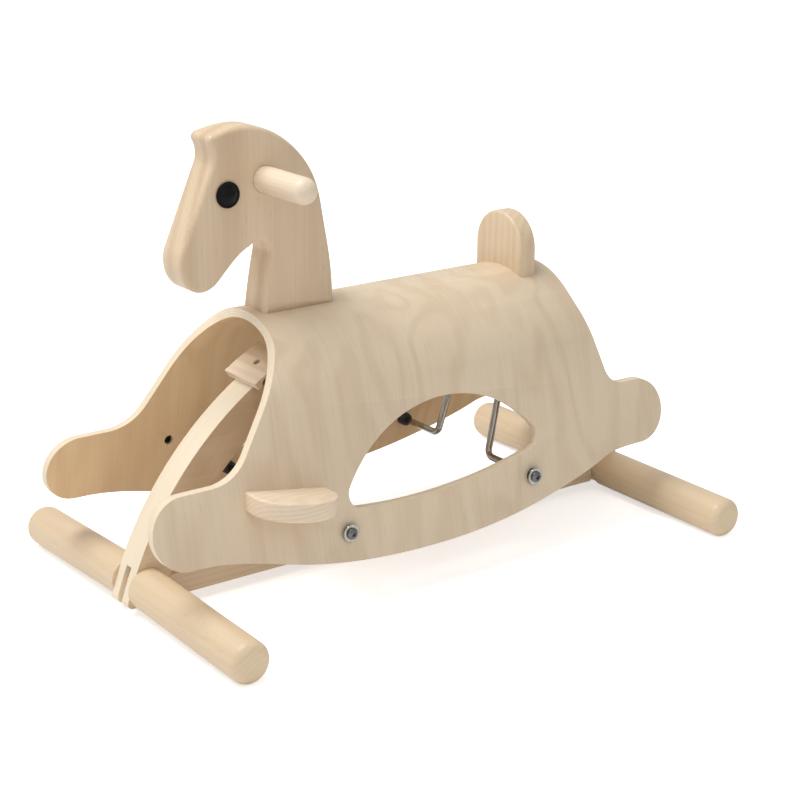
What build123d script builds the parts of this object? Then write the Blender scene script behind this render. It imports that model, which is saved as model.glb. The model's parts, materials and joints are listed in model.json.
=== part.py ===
"""Gliding rocking horse: a bent-plywood saddle hung by two steel swing rods from an arched floor frame.

Millimetres. +Z is up, -Y is the front (the head), +X is the horse's left side.
The origin is on the floor, midway between the two floor bars.
"""
from build123d import *
import os
from math import asin, atan2, cos, degrees, hypot, radians, sin, sqrt, tan

# ---- driving dimensions -------------------------------------------------------------------
# floor bars: turned dowels, one half on each side of the arch
bar_spacing = 575.0
bar_radius = 20.0
tiny = 0.001                   # lets a cut run just past the face it opens
beyond = 300.0                 # a length that reaches past every piece, for cuts that go right through
small_round = 2.5              # rounding of the beam's and the footrests' edges
bar_half_length = 200.0
bar_end_round = 9.0
front_bar_droop = 1.7          # degrees, tips lower than the root
rear_bar_droop = 0.5
stud_radius = 4.0
stud_half_length = 62.0

# arch: a flat board bent over in outline, three laminations thick
arch_thickness = 31.0
arch_side_radius = 344.0       # outer radius of each flank
arch_side_offset = 20.0        # each flank's centre lies this far past the middle
arch_side_drop = 88.0          # and this far below the floor
arch_band = 36.5               # width of the band, outside to inside
crown_half_width = 120.0       # the crown's own arc spans this much either side
arch_bottom = 9.0
foot_slot = 8.5
foot_corner_round = 5.0

# floor beam between the arch's feet
beam_half_length = 264.6
beam_bottom = 10.0
beam_top = 33.0
slot_top = 45.0                # the slot for the tongue runs on above the beam
tongue_reach = 298.0
tongue_slack = 0.2

# swing rods, in the (y, z) plane: where each hangs from the arch and where it carries the saddle
rod_radius = 3.5
rod_bend = 8.0
front_hang = (-158.5, 205.0)
front_carry = (-127.0, 76.5)
rear_hang = (132.0, 219.5)
rear_carry = (96.0, 84.0)
leg_top_x = 31.7
leg_foot_x = 42.0
rod_end_x = 116.5
running_gap = 0.06
open_pivot_gap = 1.5           # the rear lower pivot is the linkage's open one
screw_shank_radius = 2.0
screw_depth = 16.0

# plastic bushes
sleeve_radius = 6.0
sleeve_half_length = 15.4
bush_radius = 7.0
bush_inner_x = 97.0
bush_outer_x = 113.8

# caps that hold the rods down on the arch
cap_half_width = 27.0
cap_thickness = 8.0
cap_ahead = 11.0                # how far a cap runs from the rod, towards the foot
cap_behind = 37.0              # and towards the crown

cap_screw_places = (11.0, 28.0)    # along the arch from the rod, towards the crown
cap_screw_radius = 1.8
cap_bore_radius = 3.6
cap_bore_depth = 5.0
cap_screw_length = 26.0
cap_screw_head = 3.4
cap_screw_head_height = 2.4

# saddle shell: bent plywood, an arc on top and flared sides
ply = 9.0
shell_inner_radius = 80.6
shell_arc_z = 181.5
shell_flare = 12.3             # degrees

shell_cut_z = 20.0             # the sides are drawn down to here, then cut to their outline
shell_blank_half_length = 400.0    # before the side outline is cut
shell_front_y = -166.0
shell_rear_y = 181.5
front_shoulder = 256.0          # height where the front edge starts to run out to the hoof
front_instep = -240.0           # where that run meets the hoof's level top
front_rounds = [34.0, 46.0]     # roundings at the shoulder and at the instep
rear_shoulder = 243.0
rear_instep = 211.0
rear_rounds = [24.0, 60.0]      # roundings at the instep and at the shoulder
front_hoof = (-296.5, 112.5)
front_hoof_radius = 32.8
rear_hoof = (245.0, 120.5)
rear_hoof_radius = 32.2
belly = ((-262, 77.5), (-180, 58.5), (-34, 44.0), (110, 59.0), (188, 81.0))
window_front = (-131.0, 98.0)
window_top = (-3.0, 180.5)
window_rear = (117.0, 114.5)
window_sill = (-25.0, 92.5)
window_corner = 14.0

# fasteners in the saddle
small_screw_radius = 2.2
small_bore_radius = 5.0
small_bore_depth = 4.5
small_head_radius = 4.2
small_head_height = 2.8
footrest_screw_places = ((-197.0, 121.5), (-171.0, 117.5))
head_screw_places = ((0, -142.5), (0, -92.0))
head_dowel_places = ((0, -130.0), (0, -104.5))
backrest_screw_places = ((-18.0, 148.5), (18.0, 148.5))
dowel_radius = 4.0

# rings and screws on the rods' ends
collar_radius = 6.5
collar_x = 95.3
collar_width = 1.4
washer_radius = 9.0
washer_thickness = 1.5
rod_screw_head = 5.6
rod_screw_head_height = 3.4

# head board
head_thickness = 36.0
head_round = 5.0
peg_radius = 12.5
peg_half_length = 93.0
head_screw_reach = 42.0
dowel_reach = 30.0
peg_end_round = 12.0
eye_stem = 12.0
eye_stem_radius = 3.0
peg_place = (-152.5, 396.0)
eye_radius = 12.2
eye_rim = 1.3                  # raised rim round the dome
eye_dome = 5.4
eye_place = (-192.5, 386.4)

# backrest board
backrest_front_y = 138.5
backrest_thickness = 20.0
backrest_blank = 60.0           # length below the round top before it is cut to the saddle
backrest_plain_top = 240.0      # edges lower than this stay sharp
backrest_half_width = 36.0
backrest_top = 326.0
backrest_screw_reach = 34.0

# footrests
footrest_y = -189.0
footrest_top = 129.6
footrest_tilt = 9.0            # degrees, the front edge higher
footrest_half_length = 43.5
footrest_reach = 45.5
footrest_thickness = 18.0
footrest_straight = 15.0        # its sides run this far out from the wall before the round end starts
footrest_blank = 60.0           # length of the straight part before it is cut to the wall
footrest_plain = 35.0           # edges further in than this, from the round end's start, stay sharp
footrest_screw_reach = 30.0

# ---- values that follow from them -------------------------------------------------------
shell_outer_radius = shell_inner_radius + ply
flare = radians(shell_flare)
front_hoof_top = front_hoof[1] + front_hoof_radius
front_hoof_bottom = front_hoof[1] - front_hoof_radius
rear_hoof_top = rear_hoof[1] + rear_hoof_radius
rear_hoof_bottom = rear_hoof[1] - rear_hoof_radius


def wall_x(z, outer):
    """Half width of the flared side at height z, on its outer or inner face."""
    radius = shell_outer_radius if outer else shell_inner_radius
    return radius * cos(flare) + (shell_arc_z + radius * sin(flare) - z) * tan(flare)


def footrest_screw_seat(z):
    """How far out the seat of a footrest screw's head lies, inside the wall at height z."""
    return wall_x(z, outer=False) + small_bore_depth


def arch_side_point(radius, y):
    """Point of the rear flank's arc of this radius at y."""
    return (y, sqrt(radius**2 - (y + arch_side_offset) ** 2) - arch_side_drop)


def arch_side_at_height(radius, z):
    """Point of the rear flank's arc of this radius at height z."""
    return (sqrt(radius**2 - (z + arch_side_drop) ** 2) - arch_side_offset, z)


def arch_edge(radius, floor_z):
    """Half of the arch's edge line, from the crown's middle to floor_z, as three (y, z) triples."""
    centre = (-arch_side_offset, -arch_side_drop)
    joint = arch_side_point(radius, crown_half_width)
    reach = hypot(joint[0] - centre[0], joint[1] - centre[1])
    lift = arch_side_offset * reach / (joint[0] - centre[0])
    crown_centre_z = centre[1] + (joint[1] - centre[1]) * lift / reach
    crown_radius = reach - lift
    mid_y = crown_half_width / 2
    crown_mid = (mid_y, crown_centre_z + sqrt(crown_radius**2 - mid_y**2))
    crown = (0, crown_centre_z + crown_radius)
    foot = arch_side_at_height(radius, floor_z)
    flank_mid = arch_side_at_height(radius, (joint[1] + floor_z) / 2)
    return crown, crown_mid, joint, flank_mid, foot


os.makedirs("parts", exist_ok=True)


def save(part, name):
    """Write a finished piece to its own file."""
    part.label = name
    export_step(part, f"parts/{name}.step")
    print(f"{name}: {part.volume / 1000:.2f} cm3")


def dome(rim_radius, rim_height, top_height):
    """Profile line of a spherical dome, from its rim to its top on the axis."""
    rise = top_height - rim_height
    sphere = (rim_radius**2 + rise**2) / (2 * rise)
    half_angle = degrees(asin(rim_radius / sphere))
    return CenterArc((0, top_height - sphere), sphere, 90 - half_angle, half_angle)


def place(y, z, x=0.0):
    """Point of the (y, z) plane, or beside it, in space."""
    return Vector(x, y, z)


def arch_polar(end, radius, angle):
    """(y, z) at this radius and angle (degrees from the vertical, outwards) about a flank's centre."""
    y = radius * sin(radians(angle)) - arch_side_offset
    return (end * y, radius * cos(radians(angle)) - arch_side_drop)


def hang_angle(hang):
    return degrees(atan2(abs(hang[0]) + arch_side_offset, hang[1] + arch_side_drop))


def along_arch(distance):
    """Angle at a flank's centre that spans this distance along the arch."""
    return degrees(distance / arch_side_radius)


def cap_screw_plane(end, hang, distance):
    """Plane on a cap's outer face at a screw, its z axis pointing out of the arch."""
    angle = hang_angle(hang) - along_arch(distance)
    y, z = arch_polar(end, arch_side_radius + cap_thickness, angle)
    out = Vector(0, end * sin(radians(angle)), cos(radians(angle)))
    return Plane(origin=(0, y, z), x_dir=(1, 0, 0), z_dir=out)


def bar_root_z(droop):
    """Height of a floor bar's axis at the arch: the tips rest on the floor, lower than the root."""
    return bar_radius + (bar_half_length - arch_thickness / 2) * sin(radians(droop))


# ---- floor frame ---------------------------------------------------------------------------
outer_line = arch_edge(arch_side_radius, arch_bottom)
inner_line = arch_edge(arch_side_radius - arch_band, arch_bottom)

with BuildPart() as arch_frame:
    with BuildSketch(Plane.YZ):
        with BuildLine():
            ThreePointArc(*outer_line[0:3])
            ThreePointArc(*outer_line[2:5])
            Line(outer_line[4], inner_line[4])
            ThreePointArc(inner_line[4], inner_line[3], inner_line[2])
            ThreePointArc(inner_line[2], inner_line[1], inner_line[0])
            mirror(about=Plane.YZ)
        make_face()
    extrude(amount=arch_thickness / 2, both=True)
    # housings for the floor beam: square shoulders, and a slot for its tongue
    with Locations((0, 0, (beam_top + arch_bottom) / 2)):
        Box(arch_thickness, 2 * beam_half_length, beam_top - arch_bottom + tiny, mode=Mode.SUBTRACT)
    with Locations((0, 0, slot_top / 2)):
        Box(foot_slot, 2 * bar_spacing, slot_top, mode=Mode.SUBTRACT)
    toes = arch_frame.edges().filter_by(Axis.X).group_by(Axis.Z)[0]
    fillet(toes.filter_by(lambda e: abs(e.center().Y) > bar_spacing / 2), foot_corner_round)
    # grooves for the rod sleeves, and holes for the bar studs
    for hang in (front_hang, rear_hang):
        with Locations(place(*hang)):
            Cylinder(sleeve_radius, 2 * arch_thickness, rotation=(0, 90, 0), mode=Mode.SUBTRACT)
    for end, droop in ((-1, front_bar_droop), (1, rear_bar_droop)):
        with Locations((0, end * bar_spacing / 2, bar_root_z(droop))):
            Cylinder(stud_radius + running_gap, 2 * arch_thickness, rotation=(0, 90, 0),
                     mode=Mode.SUBTRACT)
    # pilot holes for the cap screws
    for end, hang in ((-1, front_hang), (1, rear_hang)):
        for distance in cap_screw_places:
            with Locations(cap_screw_plane(end, hang, distance)):
                Cylinder(cap_screw_radius + running_gap, 2 * (cap_bore_depth + cap_screw_length + 1),
                         mode=Mode.SUBTRACT)
save(arch_frame.part, "arch_frame")

with BuildPart() as base_beam:
    with Locations((0, 0, (beam_bottom + beam_top) / 2)):
        Box(arch_thickness, 2 * beam_half_length, beam_top - beam_bottom)
    fillet(base_beam.edges().filter_by(Axis.Y), small_round)
    with Locations((0, 0, (beam_bottom + beam_top) / 2)):
        Box(foot_slot - tongue_slack, 2 * tongue_reach, beam_top - beam_bottom - tongue_slack)
    for end, droop in ((-1, front_bar_droop), (1, rear_bar_droop)):
        with Locations((0, end * bar_spacing / 2, bar_root_z(droop))):
            Cylinder(stud_radius + running_gap, arch_thickness, rotation=(0, 90, 0), mode=Mode.SUBTRACT)
save(base_beam.part, "base_beam")


def half_bar(side, end, droop):
    """One half of a floor bar: side is +1 left or -1 right, end is -1 front or +1 rear."""
    centre = Vector(0, end * bar_spacing / 2, bar_root_z(droop))
    along = Vector(side * cos(radians(droop)), 0, -sin(radians(droop)))
    root = centre + Vector(side * arch_thickness / 2, 0, 0)
    with BuildPart() as bar:
        with BuildSketch(Plane(origin=root - along * 2, x_dir=(0, 1, 0), z_dir=along)):
            Circle(bar_radius)
        extrude(amount=bar_half_length - arch_thickness / 2 + 2)
        fillet(bar.faces().sort_by(Axis.X)[-1 if side > 0 else 0].edges(), bar_end_round)
        cheek = Plane(origin=root, x_dir=(0, 1, 0), z_dir=(side, 0, 0))
        split(bisect_by=cheek, keep=Keep.TOP)
        with Locations(centre):
            Cylinder(stud_radius + running_gap, 2 * stud_half_length + 4, rotation=(0, 90, 0),
                     mode=Mode.SUBTRACT)
    return bar.part


for end, droop, end_name in ((-1, front_bar_droop, "front"), (1, rear_bar_droop, "rear")):
    for side, side_name in ((1, "left"), (-1, "right")):
        save(half_bar(side, end, droop), f"{end_name}_bar_{side_name}")
    with BuildPart() as stud:
        with Locations((0, end * bar_spacing / 2, bar_root_z(droop))):
            Cylinder(stud_radius, 2 * stud_half_length, rotation=(0, 90, 0))
        chamfer(stud.edges().filter_by(GeomType.CIRCLE), 0.8)
    save(stud.part, f"{end_name}_bar_stud")


# ---- what holds the swing rods on the arch ----------------------------------------------------
def rod_cap(end, hang):
    """Curved wooden plate on the arch that closes the rod's groove, with two counterbored holes."""
    low = hang_angle(hang) + along_arch(cap_ahead)
    high = hang_angle(hang) - along_arch(cap_behind)
    top = arch_side_radius + cap_thickness
    corners = [arch_polar(end, r, a) for r in (arch_side_radius, top) for a in (low, (low + high) / 2, high)]
    with BuildPart() as cap:
        with BuildSketch(Plane.YZ):
            with BuildLine():
                ThreePointArc(corners[0], corners[1], corners[2])
                Line(corners[2], corners[5])
                ThreePointArc(corners[5], corners[4], corners[3])
                Line(corners[3], corners[0])
            make_face()
        extrude(amount=cap_half_width, both=True)
        fillet(cap.edges().filter_by(Axis.X).sort_by(Axis.Z)[-2:], 1.0)
        with Locations(place(*hang)):
            Cylinder(sleeve_radius, 3 * cap_half_width, rotation=(0, 90, 0), mode=Mode.SUBTRACT)
        for distance in cap_screw_places:
            with Locations(cap_screw_plane(end, hang, distance)):
                CounterBoreHole(cap_screw_radius + running_gap, cap_bore_radius, cap_bore_depth)
    return cap.part


def wood_screw(plane, radius, length, head_radius, head_height):
    """Pan-head screw: the head's underside lies on the plane, and the shank runs down from it."""
    with BuildPart() as screw:
        with BuildSketch(Plane.XZ):
            with BuildLine():
                Polyline((0, -length), (radius, -length + 2 * radius), (radius, 0), (head_radius, 0),
                         (head_radius, head_height * 0.45))
                dome(head_radius, head_height * 0.45, head_height)
                Line((0, head_height), (0, -length))
            make_face()
        revolve(axis=Axis.Z)
        # hexagonal recess for the key
        with BuildSketch(Plane.XY.offset(head_height * 0.4)):
            RegularPolygon(head_radius * 0.42, 6)
        extrude(amount=head_height, mode=Mode.SUBTRACT)
    return screw.part.moved(plane.location)


def screw_group(screws):
    """Screws of one kind as one node of separate solids."""
    return Compound([solid for screw in screws for solid in screw.solids()])


for end, hang, end_name in ((-1, front_hang, "front"), (1, rear_hang, "rear")):
    save(rod_cap(end, hang), f"{end_name}_rod_cap")
    with BuildPart() as sleeve:
        with Locations(place(*hang)):
            Cylinder(sleeve_radius, 2 * sleeve_half_length, rotation=(0, 90, 0))
            Cylinder(rod_radius + running_gap, 2 * sleeve_half_length, rotation=(0, 90, 0),
                     mode=Mode.SUBTRACT)
    save(sleeve.part, f"{end_name}_rod_sleeve")
save(screw_group(wood_screw(cap_screw_plane(end, hang, distance).offset(-cap_bore_depth),
                            cap_screw_radius, cap_screw_length, cap_screw_head, cap_screw_head_height)
                 for end, hang in ((-1, front_hang), (1, rear_hang)) for distance in cap_screw_places),
     "cap_screws")


# ---- swing rods -------------------------------------------------------------------------------
def swing_rod(hang, carry):
    """Bent steel rod: a cross run in the arch, two splayed legs, and a pin out through each side."""
    drop = hypot(hang[0] - carry[0], hang[1] - carry[1])
    up = Vector(0, hang[0] - carry[0], hang[1] - carry[1]).normalized()
    rod_plane = Plane(origin=place(*hang), x_dir=(1, 0, 0), z_dir=Vector(1, 0, 0).cross(up))
    with BuildPart() as rod:
        with BuildLine(rod_plane) as route:
            FilletPolyline((-rod_end_x, -drop), (-leg_foot_x, -drop), (-leg_top_x, 0), (leg_top_x, 0),
                           (leg_foot_x, -drop), (rod_end_x, -drop), radius=rod_bend)
        with BuildSketch(Plane(origin=route.line @ 0, z_dir=route.line % 0)):
            Circle(rod_radius)
        sweep()
        chamfer(rod.faces().sort_by(Axis.X)[0].edges() + rod.faces().sort_by(Axis.X)[-1].edges(), 0.5)
        for side in (-1, 1):
            with Locations(place(*carry, x=side * (rod_end_x - screw_depth / 2))):
                Cylinder(screw_shank_radius + running_gap, screw_depth, rotation=(0, 90, 0),
                         mode=Mode.SUBTRACT)
    return rod.part


def ring_pair(carry, inner_radius, outer_radius, near_x, width):
    """A ring on each side of the horse, about a carrying pivot's axis."""
    with BuildPart() as rings:
        for side in (-1, 1):
            with Locations(place(*carry, x=side * (near_x + width / 2))):
                Cylinder(outer_radius, width, rotation=(0, 90, 0))
                Cylinder(inner_radius, width, rotation=(0, 90, 0), mode=Mode.SUBTRACT)
        chamfer(rings.edges().filter_by(GeomType.CIRCLE)
                .filter_by(lambda e: abs(e.radius - outer_radius) < 0.01), min(0.4, width / 4))
    return rings.part


def side_plane(y, z, x, side):
    """Plane square to X at this place, its z axis pointing away from the horse's middle."""
    return Plane(origin=(side * x, y, z), x_dir=(0, 1, 0), z_dir=(side, 0, 0))


for hang, carry, end_name in ((front_hang, front_carry, "front"), (rear_hang, rear_carry, "rear")):
    save(swing_rod(hang, carry), f"{end_name}_swing_rod")
    save(ring_pair(carry, rod_radius + running_gap, collar_radius, collar_x, collar_width),
         f"{end_name}_rod_collars")
    save(ring_pair(carry, screw_shank_radius + 0.2, washer_radius, rod_end_x, washer_thickness),
         f"{end_name}_rod_washers")
    save(screw_group(wood_screw(side_plane(*carry, rod_end_x + washer_thickness, side),
                                screw_shank_radius, screw_depth - 2, rod_screw_head,
                                rod_screw_head_height) for side in (1, -1)),
         f"{end_name}_rod_screws")


# ---- saddle shell -------------------------------------------------------------------------------
def shell_side(radius):
    """Where the top arc of this radius meets the flared side, and the side's lower end, as (x, z)."""
    joint = (radius * cos(flare), shell_arc_z + radius * sin(flare))
    return joint, (wall_x(shell_cut_z, radius > shell_inner_radius), shell_cut_z)


outer_joint, outer_end = shell_side(shell_outer_radius)
inner_joint, inner_end = shell_side(shell_inner_radius)

with BuildPart() as saddle_shell:
    with BuildSketch(Plane.XZ):
        with BuildLine():
            Line(outer_end, outer_joint)
            ThreePointArc(outer_joint, (0, shell_arc_z + shell_outer_radius),
                          (-outer_joint[0], outer_joint[1]))
            Line((-outer_joint[0], outer_joint[1]), (-outer_end[0], outer_end[1]))
            Line((-outer_end[0], outer_end[1]), (-inner_end[0], inner_end[1]))
            Line((-inner_end[0], inner_end[1]), (-inner_joint[0], inner_joint[1]))
            ThreePointArc((-inner_joint[0], inner_joint[1]), (0, shell_arc_z + shell_inner_radius),
                          inner_joint)
            Line(inner_joint, inner_end)
            Line(inner_end, outer_end)
        make_face()
    extrude(amount=shell_blank_half_length, both=True)
    # the side outline: legs stretched in a gallop, and a window in each flank
    with BuildSketch(Plane.YZ):
        with BuildLine():
            FilletPolyline((shell_front_y, beyond), (shell_front_y, front_shoulder), (front_instep, front_hoof_top),
                           (front_hoof[0], front_hoof_top), radius=front_rounds)
            ThreePointArc((front_hoof[0], front_hoof_top), (front_hoof[0] - front_hoof_radius, front_hoof[1]),
                          (front_hoof[0], front_hoof_bottom))
            Spline((front_hoof[0], front_hoof_bottom), *belly, (rear_hoof[0], rear_hoof_bottom),
                   tangents=[(1, 0), (1, 0)])
            ThreePointArc((rear_hoof[0], rear_hoof_bottom), (rear_hoof[0] + rear_hoof_radius, rear_hoof[1]),
                          (rear_hoof[0], rear_hoof_top))
            FilletPolyline((rear_hoof[0], rear_hoof_top), (rear_instep, rear_hoof_top), (shell_rear_y, rear_shoulder),
                           (shell_rear_y, beyond), radius=rear_rounds)
            Line((shell_rear_y, beyond), (shell_front_y, beyond))
        make_face()
        with BuildSketch(mode=Mode.SUBTRACT) as window:
            with BuildLine():
                ThreePointArc(window_front, window_top, window_rear)
                ThreePointArc(window_rear, window_sill, window_front)
            make_face()
            fillet(window.vertices(), window_corner)
    extrude(amount=150, both=True, mode=Mode.INTERSECT)
    # holes: pivot bushes, footrest screws from inside, head and backrest screws from below
    for y, z in (front_carry, rear_carry):
        with Locations(place(y, z)):
            Cylinder(bush_radius, beyond, rotation=(0, 90, 0), mode=Mode.SUBTRACT)
    for y, z in footrest_screw_places:
        for side in (1, -1):
            with Locations(side_plane(y, z, footrest_screw_seat(z), side)):
                Cylinder(small_screw_radius + running_gap, 40, mode=Mode.SUBTRACT)
                Cylinder(small_bore_radius, 20, align=(Align.CENTER, Align.CENTER, Align.MAX),
                         mode=Mode.SUBTRACT)
    for x, y in head_screw_places + backrest_screw_places:
        with Locations((x, y, shell_arc_z + shell_outer_radius)):
            Cylinder(small_screw_radius + running_gap, 60, mode=Mode.SUBTRACT)
    for x, y in head_dowel_places:
        with Locations((x, y, shell_arc_z + shell_outer_radius)):
            Cylinder(dowel_radius, 60, mode=Mode.SUBTRACT)
save(saddle_shell.part, "saddle_shell")

for carry, gap, end_name in ((front_carry, running_gap, "front"), (rear_carry, open_pivot_gap, "rear")):
    save(ring_pair(carry, rod_radius + gap, bush_radius, bush_inner_x, bush_outer_x - bush_inner_x),
         f"{end_name}_wall_bushes")


# ---- head, handle and eyes ----------------------------------------------------------------------
with BuildPart() as head:
    with BuildSketch(Plane.YZ):
        with BuildLine():
            Spline((-204, 441.5), (-188, 444.8), (-162, 445), (-137, 435.5), (-113, 416), (-96, 390),
                   (-86.5, 351), (-80, 315), (-77, 262))                                  # crest, nape
            Line((-77, 262), (-157.5, 262))
            Spline((-157.5, 262), (-152.5, 297), (-147, 324))                             # neck
            ThreePointArc((-147, 324), (-153.5, 337.5), (-168, 335))                      # throat
            Spline((-168, 335), (-187, 322), (-198, 311), (-208, 302.3), (-222, 299),     # jaw, nose
                   (-235, 306), (-242, 321), (-240, 340))
            Line((-240, 340), (-209, 410))
            Spline((-209, 410), (-206, 420), (-209.5, 434))                               # brow
            ThreePointArc((-209.5, 434), (-208.8, 439), (-204, 441.5))
        make_face()
    extrude(amount=head_thickness / 2, both=True)
    sides = head.faces().filter_by(Axis.X)
    rims = sides.edges().filter_by(lambda e: e.center().Z > 262.5)
    fillet(rims, head_round)
    # the foot of the neck is coped to the saddle's crown
    with BuildSketch(Plane.XZ):
        with Locations((0, shell_arc_z)):
            Circle(shell_outer_radius)
    extrude(amount=beyond, both=True, mode=Mode.SUBTRACT)
    with Locations(place(*peg_place)):
        Cylinder(peg_radius + 0.3, head_thickness + 2, rotation=(0, 90, 0), mode=Mode.SUBTRACT)
    with Locations(place(*eye_place)):
        Cylinder(eye_stem_radius + running_gap, head_thickness + 2, rotation=(0, 90, 0),
                 mode=Mode.SUBTRACT)
    for x, y in head_screw_places:
        with Locations((x, y, shell_arc_z + shell_outer_radius)):
            Cylinder(small_screw_radius + running_gap, 2 * head_screw_reach, mode=Mode.SUBTRACT)
    for x, y in head_dowel_places:
        with Locations((x, y, shell_arc_z + shell_outer_radius)):
            Cylinder(dowel_radius, 2 * dowel_reach, mode=Mode.SUBTRACT)
save(head.part, "head")

with BuildPart() as handle_peg:
    with Locations(place(*peg_place)):
        Cylinder(peg_radius, 2 * peg_half_length, rotation=(0, 90, 0))
    fillet(handle_peg.edges().filter_by(GeomType.CIRCLE), peg_end_round)
save(handle_peg.part, "handle_peg")

with BuildPart() as eye:
    with BuildSketch(Plane.XZ):
        with BuildLine():
            Polyline((0, -eye_stem), (eye_stem_radius, -eye_stem), (eye_stem_radius, 0),
                     (eye_radius - eye_rim / 2, 0))
            ThreePointArc((eye_radius - eye_rim / 2, 0), (eye_radius, eye_rim),
                          (eye_radius - eye_rim, 2 * eye_rim))
            Line((eye_radius - eye_rim, 2 * eye_rim), (eye_radius - 2 * eye_rim, 1.6 * eye_rim))
            dome(eye_radius - 2 * eye_rim, 1.6 * eye_rim, eye_dome)
            Line((0, eye_dome), (0, -eye_stem))
        make_face()
    revolve(axis=Axis.Z)
for side, side_name in ((1, "left"), (-1, "right")):
    save(eye.part.moved(side_plane(*eye_place, head_thickness / 2, side).location), f"eye_{side_name}")

save(Compound([Solid.make_cylinder(dowel_radius, dowel_reach + ply - 1,
                                   Plane((x, y, shell_arc_z + shell_inner_radius + 1)))
               for x, y in head_dowel_places]), "head_dowels")


def screws_from_below(places, reach):
    """Screws up through the saddle's crown; each head bears on the crown's underside."""
    screws = []
    for x, y in places:
        rim_x = abs(x) + small_head_radius + 0.1
        seat_z = shell_arc_z + sqrt(shell_inner_radius**2 - rim_x**2)
        seat = Plane(origin=(x, y, seat_z), x_dir=(1, 0, 0), z_dir=(0, 0, -1))
        screws.append(wood_screw(seat, small_screw_radius, reach, small_head_radius, small_head_height))
    return screw_group(screws)


save(screws_from_below(head_screw_places, head_screw_reach), "head_screws")

# ---- backrest -----------------------------------------------------------------------------------
with BuildPart() as backrest:
    with BuildSketch(Plane.XZ.offset(-backrest_front_y)):
        with Locations((0, backrest_top - backrest_half_width)):
            Circle(backrest_half_width)
        with Locations((0, backrest_top - backrest_half_width)):
            Rectangle(2 * backrest_half_width, backrest_blank, align=(Align.CENTER, Align.MAX))
    extrude(amount=-backrest_thickness)
    rims = backrest.faces().filter_by(Axis.Y).edges().filter_by(lambda e: e.center().Z > backrest_plain_top)
    fillet(rims, 3.0)
    with BuildSketch(Plane.XZ):
        with Locations((0, shell_arc_z)):
            Circle(shell_outer_radius)
    extrude(amount=beyond, both=True, mode=Mode.SUBTRACT)
    for x, y in backrest_screw_places:
        with Locations((x, y, shell_arc_z + shell_outer_radius)):
            Cylinder(small_screw_radius + running_gap, 2 * backrest_screw_reach, mode=Mode.SUBTRACT)
save(backrest.part, "backrest")
save(screws_from_below(backrest_screw_places, backrest_screw_reach), "backrest_screws")

# ---- footrests ----------------------------------------------------------------------------------
tilt = radians(footrest_tilt)
for side, side_name in ((1, "left"), (-1, "right")):
    top = Plane(origin=(0, footrest_y, footrest_top), x_dir=(side, 0, 0), z_dir=(0, sin(tilt), cos(tilt)))
    straight = wall_x(footrest_top, outer=True) + footrest_straight
    with BuildPart() as footrest:
        with BuildSketch(top):
            with Locations((straight, 0)):
                Ellipse(footrest_reach + wall_x(footrest_top, outer=True) - straight, footrest_half_length)
                Rectangle(footrest_blank, 2 * footrest_half_length, align=(Align.MAX, Align.CENTER))
        extrude(amount=-footrest_thickness)
        fillet(footrest.faces().filter_by(Axis(top.origin, top.z_dir)).edges()
               .filter_by(lambda e: abs(e.center().X) > straight - footrest_plain), small_round)
        # the inner side is cut to the flared wall
        with BuildSketch(Plane.XZ):
            with BuildLine():
                Polyline((0, 250), (side * wall_x(250, True), 250), (side * wall_x(20, True), 20), (0, 20),
                         close=True)
            make_face()
        extrude(amount=400, both=True, mode=Mode.SUBTRACT)
        for y, z in footrest_screw_places:
            with Locations(side_plane(y, z, wall_x(z, True), side)):
                Cylinder(small_screw_radius + running_gap, 2 * footrest_screw_reach, mode=Mode.SUBTRACT)
    save(footrest.part, f"footrest_{side_name}")

footrest_screws = []
for side in (1, -1):
    for y, z in footrest_screw_places:
        seat = Plane(origin=(side * footrest_screw_seat(z), y, z), x_dir=(0, 1, 0), z_dir=(-side, 0, 0))
        footrest_screws.append(wood_screw(seat, small_screw_radius, footrest_screw_reach,
                                          small_head_radius, small_head_height))
save(screw_group(footrest_screws), "footrest_screws")
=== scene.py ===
"""Finish and stage for a gliding rocking horse of bent plywood, turned wood and steel rods.

The frame gives every place and size. Lengths are metres, +Z is up and -Y is the front.
"""
import json
from math import cos, pi, radians, sin

import bmesh
import bpy
import numpy as np
from mathutils import Matrix, Vector


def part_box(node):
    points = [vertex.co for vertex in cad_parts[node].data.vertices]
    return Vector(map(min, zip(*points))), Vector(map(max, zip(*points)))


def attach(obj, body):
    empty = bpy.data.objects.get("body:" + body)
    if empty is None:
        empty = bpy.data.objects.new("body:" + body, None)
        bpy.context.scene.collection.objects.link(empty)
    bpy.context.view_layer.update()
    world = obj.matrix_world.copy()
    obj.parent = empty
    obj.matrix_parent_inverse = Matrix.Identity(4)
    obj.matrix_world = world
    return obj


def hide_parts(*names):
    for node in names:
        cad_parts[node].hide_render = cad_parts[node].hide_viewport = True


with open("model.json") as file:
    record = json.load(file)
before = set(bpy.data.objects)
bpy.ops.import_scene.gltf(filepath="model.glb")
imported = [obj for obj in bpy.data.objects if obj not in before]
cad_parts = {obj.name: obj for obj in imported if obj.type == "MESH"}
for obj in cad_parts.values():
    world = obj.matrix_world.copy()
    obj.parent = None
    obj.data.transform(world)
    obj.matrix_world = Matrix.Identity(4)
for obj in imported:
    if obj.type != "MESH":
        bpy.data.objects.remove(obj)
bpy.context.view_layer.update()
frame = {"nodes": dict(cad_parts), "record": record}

bl_info = {
    "name": "Gliding Rocking Horse",
    "version": (1, 0, 0),
    "blender": (4, 5, 0),
    "location": "3D View > Sidebar > Horse",
    "description": "Finishes the pieces of a gliding rocking horse and sets its stage",
    "category": "Object",
}

BODY_OF = {node: body for body, nodes in frame["record"]["behaviour"]["bodies"].items() for node in nodes}

# darkest and palest tone of each plating; the zinc's tones are set dark as painted reflection of dark
# surroundings
ZINC_WITH_PAINTED_REFLECTION = ((0.10, 0.10, 0.10), (0.30, 0.30, 0.29))
BLACK_OXIDE = ((0.012, 0.010, 0.009), (0.035, 0.030, 0.028))

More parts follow.
